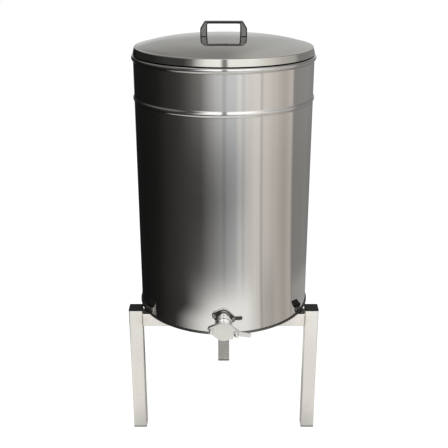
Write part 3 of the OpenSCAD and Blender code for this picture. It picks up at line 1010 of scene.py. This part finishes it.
@dataclass
class Gate:
    """Honey gate on its welded socket, in millimetres; distances run forward from the tank's axis."""

    outlet: float = BAR_TOP + 33.0
    tilt: float = 9.0
    bore: float = 17.5
    spigot: float = 20.15
    neck: float = 20.9
    socket: float = 23.0
    wall: float = 250.0
    collar_radius: float = 22.8
    collar_half: float = 21.2
    spigot_back: float = 252.0
    collar_back: float = 260.5
    collar_front: float = 264.5
    plate_back: float = 285.5
    plate_front: float = 291.5
    blade_back: float = 291.7
    blade_front: float = 296.7
    washer_back: float = 296.9
    nut_back: float = 298.5
    disc: float = 27.5
    ear: float = 9.5
    offset: float = 35.0
    lever: float = 76.5
    lever_half: float = 6.0
    slot: float = 4.4
    jaw: Point = (24.6, -19.0)
    washer: float = 8.0
    bolt: float = 4.1
    nut_flats: float = 13.0
    nut_hex: float = 6.5
    nut_dome: float = 6.0
    nut_height: float = 14.0

    def placed(self) -> Matrix:
        """Place of the gate: forward is -Y, turned a little about its bore."""
        return front_matrix(self.outlet) @ Matrix.Rotation(math.radians(-self.tilt), 4, "Z")

    def at_bolt(self, side: int) -> Matrix:
        """Place of a bolt: side is -1 for the pivot and 1 for the clamp bolt."""
        return self.placed() @ Matrix.Translation((side * self.offset, 0.0, 0.0))

    def lean(self) -> float:
        """Angle at which the flanks touch the disc and the ears, in degrees."""
        return math.degrees(math.acos((self.disc - self.ear) / self.offset))

    def plate_outline(self, inset: float) -> Outline:
        """Disc with an ear on each side.

        Args:
            inset: how far the outline is drawn in.

        Returns:
            The outline, counter-clockwise.
        """
        lean = self.lean()
        disc, ear = self.disc - inset, self.ear - inset
        line = Outline()
        line.arc((self.offset, 0.0), ear, -lean, lean, 20)
        line.arc((0.0, 0.0), disc, lean, 180.0 - lean, 20)
        line.arc((-self.offset, 0.0), ear, 180.0 - lean, 180.0 + lean, 20)
        return line.arc((0.0, 0.0), disc, 180.0 + lean, 360.0 - lean, 20)

    def casting(self) -> bpy.types.Object:
        """Builds spigot, collar, neck and plate."""
        soft = 1.0
        turns = [math.radians(angle) for angle in (90, 60, 30, 0)]
        rounding = [(soft * (1 - math.cos(turn)), soft * (1 - math.sin(turn))) for turn in turns]
        ring = [(self.plate_outline(inset), self.plate_back + rise) for inset, rise in rounding]
        ring += [(self.plate_outline(inset), self.plate_front - rise)
                 for inset, rise in reversed(rounding)]
        count = len(ring[0][0].points)
        start = -self.lean()
        inner = Outline().arc((0.0, 0.0), self.bore, start, start + 360.0 - 360.0 / count, count - 1)
        piece = Workpiece().loft(ring + [(inner, self.plate_front), (inner, self.plate_back)])
        # The faces that look back towards the wall get the painted shade.
        piece.second_finish(looks_back)

        fillet = 2.0
        neck = Outline((self.bore, self.spigot_back), (self.spigot, self.spigot_back),
                       (self.spigot, self.collar_back + 1.0), (self.neck, self.collar_back + 1.0),
                       (self.neck, self.plate_back - fillet - 1.0))
        neck.arc((self.neck + fillet, self.plate_back - fillet), fillet, 180.0, 90.0, 6)
        neck.to((self.bore, self.plate_back))
        piece.take(Workpiece().spin(neck, steps=96))

        flat = math.degrees(math.acos(self.collar_half / self.collar_radius))
        collar = Outline()
        collar.arc((0.0, 0.0), self.collar_radius, flat, 180.0 - flat, 28)
        collar.arc((0.0, 0.0), self.collar_radius, 180.0 + flat, 360.0 - flat, 28)
        plate = Workpiece().plate(collar, self.collar_back, self.collar_front)
        piece.take(plate.round_edges(0.9, 3, 60.0))
        casting = piece.move(self.placed()).done("gate_casting", [NECK_STEEL_PAINTED_BRIGHT, BACK_SHADE_STEEL], even=True)
        return settle(casting, "tank", "gate_steel", "gate_body")

    def slot_side(self, radius: float, drop: float) -> Point:
        """Point of the hook slot's side on a circle about the pivot, that far below the bolts' line."""
        return math.sqrt(radius ** 2 - drop ** 2) - self.offset, -drop

    def blade_outline(self) -> Outline:
        """Disc, pivot ear, lever and the hook over the clamp bolt, counter-clockwise."""
        lean = self.lean()
        near, far = 2 * self.offset - self.slot, 2 * self.offset + self.slot
        lever_turn = math.degrees(math.asin(self.lever_half / self.ear))
        mouth = self.slot_side(far, 8.57)
        mouth_turn = math.degrees(math.atan2(mouth[1], mouth[0] - self.offset))
        end = self.lever - self.lever_half
        line = Outline()
        line.arc((self.offset, 0.0), self.ear, mouth_turn, -lever_turn, 5)
        line.arc((end, 0.0), self.lever_half, -90.0, 90.0, 14)
        line.arc((self.offset, 0.0), self.ear, lever_turn, lean, 5)
        line.arc((0.0, 0.0), self.disc, lean, 180.0 - lean, 24)
        line.arc((-self.offset, 0.0), self.ear, 180.0 - lean, 180.0 + lean, 18)
        line.arc((0.0, 0.0), self.disc, 180.0 + lean, 360.0 - lean, 24)
        drops = (-self.jaw[1], 14.0, 10.0, 6.0, 3.0)
        line.to((self.jaw[0], -17.0), self.jaw, *(self.slot_side(near, drop) for drop in drops))
        line.arc((self.offset, 0.0), self.slot, 180.0, 0.0, 10)
        return line.to(self.slot_side(far, 4.0))

    def blade(self) -> bpy.types.Object:
        """Builds the blade with softly rounded edges."""
        piece = Workpiece().plate(self.blade_outline(), self.blade_back, self.blade_front)
        # The blade's back faces get the painted shade.
        piece.round_edges(0.8, 3, 60.0, lambda e: height_of(e) < 0.01).second_finish(looks_back)
        blade = piece.move(self.placed()).done("gate_paddle", [GATE_STEEL, BACK_SHADE_STEEL], even=True)
        return settle(blade, "gate_blade", "gate_steel", "gate_blade")

    def nut(self, side: int, name: str, node: str) -> bpy.types.Object:
        """Builds a domed cap nut.

        Args:
            side: -1 for the pivot, 1 for the clamp bolt.
            name: the piece's name.
            node: the node that it replaces.

        Returns:
            The nut.
        """
        corner = self.nut_flats / 2 / math.cos(math.radians(30))
        top = self.nut_back + self.nut_height
        piece = Workpiece().prism(6, corner, self.nut_back, self.nut_back + self.nut_hex)
        piece.round_edges(0.7, 3, 40.0)
        dome = Outline((0.0, self.nut_back + 1.0), (self.nut_dome, self.nut_back + 1.0),
                       (self.nut_dome, top - self.nut_dome - 0.5))
        dome.arc((0.0, top - self.nut_dome), self.nut_dome, 0.0, 90.0, 12)
        piece.take(Workpiece().spin(dome, closed=False, steps=48))
        piece.move(self.at_bolt(side))
        return settle(piece.done(name, [NUT_STEEL], even=True), "tank", "gate_steel", node)

    def washer_ring(self, side: int, name: str, node: str) -> bpy.types.Object:
        """Builds a washer with rounded edges.

        Args:
            side: -1 for the pivot, 1 for the clamp bolt.
            name: the piece's name.
            node: the node that it replaces.

        Returns:
            The washer.
        """
        low, high, soft = self.washer_back, self.nut_back, 0.4
        line = Outline((self.bolt, low), (self.washer - soft, low))
        line.arc((self.washer - soft, low + soft), soft, -90.0, 0.0, 4)
        line.arc((self.washer - soft, high - soft), soft, 0.0, 90.0, 4)
        line.to((self.bolt, high))
        piece = Workpiece().spin(line, steps=48)
        piece.move(self.at_bolt(side))
        return settle(piece.done(name, [BOLT_STEEL]), "tank", "bolt_steel", node)

    def socket_weld(self) -> bpy.types.Object:
        """Builds the rippled weld between the socket and the round wall."""
        bead, ripples = 2.0, 54
        line = Outline().arc((self.socket, 0.0), bead, 0.0, 330.0, 11)
        piece = Workpiece().spin(line, steps=144)

        def onto_wall(co: Vector) -> Vector:
            """Lays a point of the flat ring on the wall, with ripples."""
            wave = math.sin(ripples * math.atan2(co.y, co.x))
            swell = 1.0 + 0.003 * wave
            lift = math.sqrt(self.wall ** 2 - co.x ** 2) + 0.06 * wave
            return Vector((co.x * swell, co.y * swell, co.z + lift))

        piece.shift(onto_wall).move(front_matrix(self.outlet))
        ring = piece.done("socket_weld", [SOCKET_STEEL], Edge.ROLLED)
        return settle(ring, "tank", "gate_steel")

    def fittings(self) -> None:
        """Dresses the socket, the seals and the bolts."""
        finishes = {"outlet_socket": SOCKET_STEEL, "gate_gasket": RUBBER, "gate_seal": RUBBER,
                    "pivot_bolt": BOLT_STEEL, "clamp_bolt": BOLT_STEEL}
        for node, finish in finishes.items():
            dress(node, finish)

    def build(self) -> None:
        """Builds the honey gate."""
        self.casting()
        self.blade()
        self.nut(-1, "cap_nut_left", "pivot_nut")
        self.nut(1, "cap_nut_right", "clamp_nut")
        self.washer_ring(-1, "gate_washer_left", "pivot_washer")
        self.washer_ring(1, "gate_washer_right", "clamp_washer")
        self.socket_weld()
        self.fittings()


@dataclass
class Stand:
    """Three legs and two bars of square tube with plugs and welds, in millimetres."""

    tube: float = 40.0
    bar_top: float = BAR_TOP
    bar_end: float = 240.0
    front_y: float = -106.387
    rear_face: float = 271.25
    bead: float = 2.0
    steel: Colour = (0.80, 0.785, 0.755)
    roughness: float = 0.27
    wave: float = 2.6

    def corners(self) -> dict[str, Place]:
        """Middles of the bars' four end faces."""
        mid = self.bar_top - self.tube / 2
        return {"left": (-self.bar_end, self.front_y, mid), "right": (self.bar_end, self.front_y, mid),
                "middle": (0.0, self.front_y + self.tube / 2, mid), "rear": (0.0, self.rear_face, mid)}

    def tubes(self) -> None:
        """Dresses each tube, with the heat tints and the painted shade beside the welds that are on it.
        """
        runs = {"leg_left": ("left leg tube", Grain.UPRIGHT, "left"),
                "leg_right": ("right leg tube", Grain.UPRIGHT, "right"),
                "leg_rear": ("rear leg tube", Grain.UPRIGHT, "rear"),
                "cross_bar": ("cross bar tube", Grain.CROSSWAYS, "left", "right", "middle"),
                "rear_bar": ("rear bar tube", Grain.LENGTHWAYS, "middle", "rear")}
        corners = self.corners()
        for node, (name, grain, *welds) in runs.items():
            places = tuple(corners[weld] for weld in welds)
            dress(node, TubeSteel(name, self.steel, self.roughness, grain=grain, welds=places))

    def plugs(self) -> None:
        """Dresses the caps and the feet."""
        for kind in ("top_cap", "foot"):
            for place in ("left", "right", "rear"):
                dress(f"{kind}_{place}", CAP_PLASTIC)

    def weld(self, start: Vector, end: Vector, radius: float) -> Workpiece:
        """Makes one rippled bead between two points.

        Args:
            start: first end.
            end: other end.
            radius: the bead's radius.

        Returns:
            The bead.
        """
        run = end - start
        piece = Workpiece().prism(10, radius, 0.0, run.length)
        long_edges = [e for e in piece.bm.edges if height_of(e) > 1.0]
        bmesh.ops.subdivide_edges(piece.bm, edges=long_edges, cuts=47, use_grid_fill=True)

        def ripple(co: Vector) -> Vector:
            """Swells the bead at each ripple and draws in its ends."""
            swell = 0.90 + 0.14 * abs(math.sin(math.pi * co.z / self.wave))
            ends = min(1.0, 0.35 + min(co.z, run.length - co.z) / 2.0)
            return Vector((co.x * swell * ends, co.y * swell * ends, co.z))

        turn = Vector((0.0, 0.0, 1.0)).rotation_difference(run.normalized()).to_matrix().to_4x4()
        return piece.shift(ripple).move(Matrix.Translation(start) @ turn)

    def joint(self, name: str, middle: Vector, along: Vector) -> bpy.types.Object:
        """Welds round the end of a bar.

        Args:
            name: the piece's name.
            middle: middle of the bar's end face.
            along: direction of the bar, away from what it stands against.

        Returns:
            The weld.
        """
        half = self.tube / 2
        up = Vector((0.0, 0.0, 1.0))
        side = along.cross(up)
        reach = half - 3.0
        lift = along * 0.6
        piece = Workpiece()
        for across, length in ((up, side), (-up, side), (side, up), (-side, up)):
            flush = (abs(across.z) > 0.5) == (name == "weld_middle")
            edge = middle + across * half + lift + across * (-1.1 if flush else 0.2)
            piece.take(self.weld(edge - length * reach, edge + length * reach, self.bead))
        return settle(piece.done(name, [WELD_METAL]), "stand", "frame_steel")

    def welds(self) -> None:
        """Builds the welds at the four joints."""
        runs = {"left": (1.0, 0.0, 0.0), "right": (-1.0, 0.0, 0.0),
                "middle": (0.0, 1.0, 0.0), "rear": (0.0, -1.0, 0.0)}
        for place, along in runs.items():
            self.joint(f"weld_{place}", Vector(self.corners()[place]), Vector(along))

    def build(self) -> None:
        """Dresses the stand and builds its welds."""
        self.tubes()
        self.plugs()
        self.welds()


@dataclass(frozen=True)
class Tone:
    """Brightness of the studio at one bearing, a little warm or cool."""

    bearing: float
    level: float
    warmth: float = 0.0

    def colour(self) -> Colour:
        """The tone as a colour."""
        return self.level * (1.0 + self.warmth), self.level, self.level * (1.0 - self.warmth)


@dataclass(frozen=True)
class Patch:
    """A soft area on the floor that is brighter or darker, by bearing and distance."""

    rise: Point
    fall: Point
    reach: Point
    strength: float

    def mask(self, bearing: Socket, away: Socket) -> Socket:
        """How much brighter the floor is at a place."""
        return bearing.within(self.rise, self.fall) * (1.0 - away.step(*self.reach)) * self.strength


@dataclass(frozen=True)
class Pool:
    """Bright pool on the floor in front, whose left edge leans and softens with the distance."""

    lean_reach: Point = (1.03, 1.21)
    lean_angle: float = 15.0
    lean_start: float = 8.0
    hard_edge: Point = (-57.0, -5.0)
    soft_edge: Point = (-54.0, 24.0)
    soft_reach: Point = (1.15, 1.40)
    right_edge: Point = (26.0, 46.0)
    reach: Point = (1.15, 1.60)
    tint: Colour = (1.12, 1.105, 1.08)

    def mask(self, bearing: Socket, away: Socket) -> Socket:
        """How much of the pool shows at a place."""
        slant = away.step(*self.lean_reach) * self.lean_angle - self.lean_start
        hard, soft = (bearing - slant).step(*self.hard_edge), bearing.step(*self.soft_edge)
        edge = hard + (soft - hard) * away.step(*self.soft_reach)
        return edge * (1.0 - bearing.step(*self.right_edge)) * (1.0 - away.step(*self.reach))


@dataclass
class Studio:
    """Pale floor, soft light and the camera, in metres and degrees."""

    camera_place: Place = (0.0009, -2.1619, 1.454)
    camera_pitch: float = 20.83
    lens: float = 62.15
    floor_radius: float = 14.0
    floor_gap: float = 0.0004
    lamp_aim: Place = (0.0, 0.0, 0.7)
    floor_tones: tuple[Tone, ...] = (
        Tone(-180, 0.30), Tone(-168, 0.20), Tone(-156, 0.010), Tone(-115, 0.010, 0.03),
        Tone(-90, 0.014, 0.03), Tone(-66, 0.035, 0.05), Tone(-46, 0.052, 0.05),
        Tone(-28, 0.058, 0.04), Tone(-19, 0.115, 0.02), Tone(-3, 0.23, -0.01),
        Tone(14, 0.345, -0.02), Tone(18, 0.50, 0.01), Tone(30, 0.64, 0.03), Tone(39, 0.79, 0.05),
        Tone(49, 0.75, 0.06), Tone(66, 0.59, 0.07), Tone(80, 0.47, 0.08), Tone(90, 0.54, 0.08),
        Tone(94, 0.53, 0.08), Tone(97, 0.28, 0.04), Tone(130, 0.29, 0.03), Tone(155, 0.21),
        Tone(169, 0.22), Tone(180, 0.30))
    sky_tones: tuple[Tone, ...] = (
        Tone(-180, 0.42), Tone(-168, 0.43), Tone(-158, 0.06), Tone(-140, 0.02), Tone(-100, 0.022),
        Tone(-72, 0.05), Tone(-50, 0.06), Tone(-40, 0.20), Tone(-31, 0.75), Tone(-22, 1.15),
        Tone(-4, 1.25), Tone(-1, 0.30), Tone(3, 0.30), Tone(6, 1.20), Tone(36, 1.20),
        Tone(54, 0.92, 0.02), Tone(76, 0.62, 0.02), Tone(98, 0.50, 0.02), Tone(106, 0.27, 0.01),
        Tone(150, 0.27), Tone(160, 0.50), Tone(171, 0.54), Tone(180, 0.42))
    card_gaps: tuple[Point, ...] = ((0.5, 0.16), (23.5, 0.14), (47.5, 0.24))
    gap_edge: Point = (1.0, 3.0)
    streak_width: float = 8.0
    streak_depth: float = 0.20
    far_floor: Point = (2.6, 5.6)
    far_front: tuple[Point, Point] = ((-62.0, -22.0), (-18.0, 40.0))
    far_lifts: Point = (2.7, 0.2)
    patches: tuple[Patch, ...] = (
        Patch((-60.0, -15.0), (10.0, 40.0), (1.90, 2.60), 0.46),
        Patch((42.0, 54.0), (60.0, 74.0), (1.20, 1.90), -0.20),
        Patch((94.0, 100.0), (150.0, 165.0), (1.15, 1.38), 0.40))
    pool: Pool = Pool()
    leg_reach: Point = (0.75, 0.95)
    leg_left: Point = (-140.0, -110.0)
    leg_right: Point = (0.0, 32.0)
    leg_tints: tuple[Colour, Colour] = ((0.84, 0.825, 0.78), (0.79, 0.775, 0.735))
    tank_shadow_reach: Point = (0.20, 0.42)
    tank_shadow_tint: Colour = (0.33, 0.325, 0.31)
    back_left: Point = (-165.0, -150.0)
    back_right: Point = (172.0, 180.0)
    low_wall: Point = (0.02, 0.20)
    high_wall: Point = (0.20, 0.65)
    front_screen: tuple[Point, Point] = ((-45.0, -20.0), (40.0, 70.0))
    screen_height: Point = (0.25, 0.60)
    left_screen: tuple[Point, Point] = ((-156.0, -140.0), (-70.0, -50.0))
    left_height: Point = (0.28, 0.45)
    left_tint: Colour = (0.90, 0.89, 0.87)
    ceiling: Point = (0.78, 0.94)
    ceiling_tint: Colour = (0.74, 0.735, 0.72)
    even_light: Colour = (0.55, 0.55, 0.55)
    white: Colour = (1.0, 1.0, 1.0)
    floor_grey: Colour = (0.80, 0.80, 0.80)
    floor_glow: float = 0.92
    shadow_grey: Colour = (0.22, 0.22, 0.22)

    @staticmethod
    def bearing(x: Socket, y: Socket) -> Socket:
        """Bearing of a place or a direction in degrees, 0 in front and 90 on the right."""
        return x.math("ARCTAN2", -y) * (360.0 / TURN)

    @staticmethod
    def ring_ramp(graph: Graph, bearing: Socket, tones: Sequence[Tone]) -> Socket:
        """Tones all round the object.

        Args:
            graph: the node tree.
            bearing: the bearing in degrees.
            tones: the tones in rising order of bearing.

        Returns:
            The colour.
        """
        stops = [(tone.bearing / 360.0 + 0.5, tone.colour()) for tone in tones]
        return graph.value("ShaderNodeValToRGB", {"stops": stops}, {"Fac": bearing / 360.0 + 0.5})

    @staticmethod
    def ray(graph: Graph, name: str) -> Socket:
        """Whether a ray is of one kind."""
        return graph.value("ShaderNodeLightPath", output=name)

    def cards(self, graph: Graph) -> Socket:
        """Tones of the cards laid out on the floor for the polished steel, with a painted shadow under
        the tank.

        Args:
            graph: the floor's node tree.

        Returns:
            The colour that the steel mirrors.
        """
        x, y, _ = graph.split(graph.position((0.0, AXIS_Y * MM, 0.0)))
        away = (x * x + y * y) ** 0.5
        bearing = self.bearing(x, y)
        front, around = self.far_lifts
        lift = 1.0 + away.step(*self.far_floor) * (bearing.within(*self.far_front) * front + around)
        for patch in self.patches:
            lift = lift + patch.mask(bearing, away)
        streaks = graph.noise(graph.join(bearing / self.streak_width, 0.0, 0.0), 1.0)
        lift = lift * (1.0 + (streaks - 0.5) * self.streak_depth)
        for place, depth in self.card_gaps:
            lift = lift * (1.0 - depth + abs(bearing - place).step(*self.gap_edge) * depth)
        tone = graph.scale(self.ring_ramp(graph, bearing, self.floor_tones), lift)
        tone = graph.tint(self.pool.mask(bearing, away), tone, self.pool.tint)
        near = (1.0 - away.step(*self.leg_reach)) * bearing.step(*self.leg_left)
        tone = graph.tint(near, tone, graph.tint(bearing.step(*self.leg_right), *self.leg_tints))
        # Painted shadow: the floor under the tank is darkened in what the steel mirrors.
        return graph.tint(1.0 - away.step(*self.tank_shadow_reach), tone, self.tank_shadow_tint)

    def by_ray(self, graph: Graph, name: str, others: Socket, these: Socket) -> Socket:
        """One shader for one kind of ray, and another for all other rays."""
        return graph.value("ShaderNodeMixShader", {}, {0: self.ray(graph, name), 1: others, 2: these})

    @staticmethod
    def surface(graph: Graph, kind: str, colour: Any, **inputs: float) -> Socket:
        """A plain shader of one kind.

        Args:
            graph: the node tree.
            kind: the shader node's type.
            colour: its colour or a Socket.
            inputs: its other inputs.

        Returns:
            The shader.
        """
        paint = (*colour, 1.0) if isinstance(colour, tuple) else colour
        return graph.value(kind, {}, {"Color": paint, **inputs})

    def floor(self) -> None:
        """Builds the floor: white with a soft shadow, and toned cards that only the steel mirrors."""
        bm = bmesh.new()
        bmesh.ops.create_circle(bm, cap_ends=True, segments=96, radius=self.floor_radius)
        bmesh.ops.translate(bm, verts=bm.verts, vec=(0.0, 0.0, -self.floor_gap))
        mesh = bpy.data.meshes.new("studio_floor")
        bm.to_mesh(mesh)
        bm.free()
        floor = bpy.data.objects.new("studio_floor", mesh)
        bpy.context.scene.collection.objects.link(floor)

        material = bpy.data.materials.new("studio floor")
        material.use_nodes = True
        graph = Graph(material.node_tree)
        cards = self.surface(graph, "ShaderNodeEmission", self.cards(graph), Strength=1.0)
        plain = self.surface(graph, "ShaderNodeBsdfDiffuse", self.floor_grey)
        lit = self.surface(graph, "ShaderNodeEmission", self.white, Strength=self.floor_glow)
        shadow = self.surface(graph, "ShaderNodeBsdfDiffuse", self.shadow_grey)
        pale = graph.value("ShaderNodeAddShader", {}, {0: lit, 1: shadow})
        seen = self.by_ray(graph, "Is Camera Ray", plain, pale)
        both = self.by_ray(graph, "Is Glossy Ray", seen, cards)
        graph.node("ShaderNodeOutputMaterial", {}, {"Surface": both})
        mesh.materials.append(material)

    def sky(self, graph: Graph) -> Socket:
        """Tones of the walls and the ceiling round the object.

        Args:
            graph: the world's node tree.

        Returns:
            The colour that the steel mirrors.
        """
        x, y, z = graph.split(graph.value("ShaderNodeTexCoord", output="Generated"))
        bearing = self.bearing(x, y)
        back = 1.0 - bearing.step(*self.back_left) + bearing.step(*self.back_right)
        fade = 1.0 + back * (0.5 - z.step(*self.low_wall) * 0.5 - z.step(*self.high_wall) * 0.28)
        above = bearing.within(*self.front_screen) * z.step(*self.screen_height)
        tone = graph.scale(self.ring_ramp(graph, bearing, self.sky_tones), fade + above * 0.4)
        aside = bearing.within(*self.left_screen) * z.step(*self.left_height)
        tone = graph.tint(aside * 0.2, tone, self.left_tint)
        return graph.tint(z.step(*self.ceiling) * 0.8, tone, self.ceiling_tint)

    def world(self) -> None:
        """Sets the white backdrop, the even light and the tones that the steel mirrors."""
        world = bpy.data.worlds.new("studio")
        bpy.context.scene.world = world
        world.use_nodes = True
        graph = Graph(world.node_tree)
        colour = graph.tint(self.ray(graph, "Is Glossy Ray"), self.even_light, self.sky(graph))
        colour = graph.tint(self.ray(graph, "Is Camera Ray"), colour, self.white)
        light = self.surface(graph, "ShaderNodeBackground", colour, Strength=1.0)
        graph.node("ShaderNodeOutputWorld", {}, {"Surface": light})

    def lamp(self, name: str, place: Place, size: float, watts: float) -> None:
        """Hangs one soft lamp that looks at the tank.

        Args:
            name: the lamp's name.
            place: where it hangs.
            size: side of its square face.
            watts: its power.
        """
        light = bpy.data.lights.new(name, "AREA")
        light.energy = watts
        light.size = size
        lamp = bpy.data.objects.new(name, light)
        lamp.location = place
        aim = Vector(self.lamp_aim) - Vector(place)
        lamp.rotation_mode = "QUATERNION"
        lamp.rotation_quaternion = aim.to_track_quat("-Z", "Y")
        lamp.visible_glossy = False
        bpy.context.scene.collection.objects.link(lamp)

    def camera(self) -> None:
        """Sets the camera at the photograph's viewing angle."""
        data = bpy.data.cameras.new("camera")
        data.lens = self.lens
        data.sensor_width = 36.0
        data.clip_end = 60.0
        camera = bpy.data.objects.new("camera", data)
        camera.location = self.camera_place
        camera.rotation_euler = (math.radians(90.0 - self.camera_pitch), 0.0, 0.0)
        bpy.context.scene.collection.objects.link(camera)
        bpy.context.scene.camera = camera

    def build(self) -> None:
        """Sets up the whole studio."""
        bpy.context.scene.view_settings.view_transform = "Standard"
        self.camera()
        self.floor()
        self.world()
        self.lamp("front_lamp", (-0.8, -2.6, 2.6), 1.6, 70.0)
        self.lamp("top_lamp", (0.6, -0.4, 3.2), 2.0, 60.0)


def main() -> None:
    """Builds every piece, then the studio."""
    logging.basicConfig(level=logging.INFO, format="%(name)s: %(message)s")
    for group in (Tank(), Gate(), Lid(), Stand(), Studio()):
        group.build()


if __name__ == "__main__":
    main()
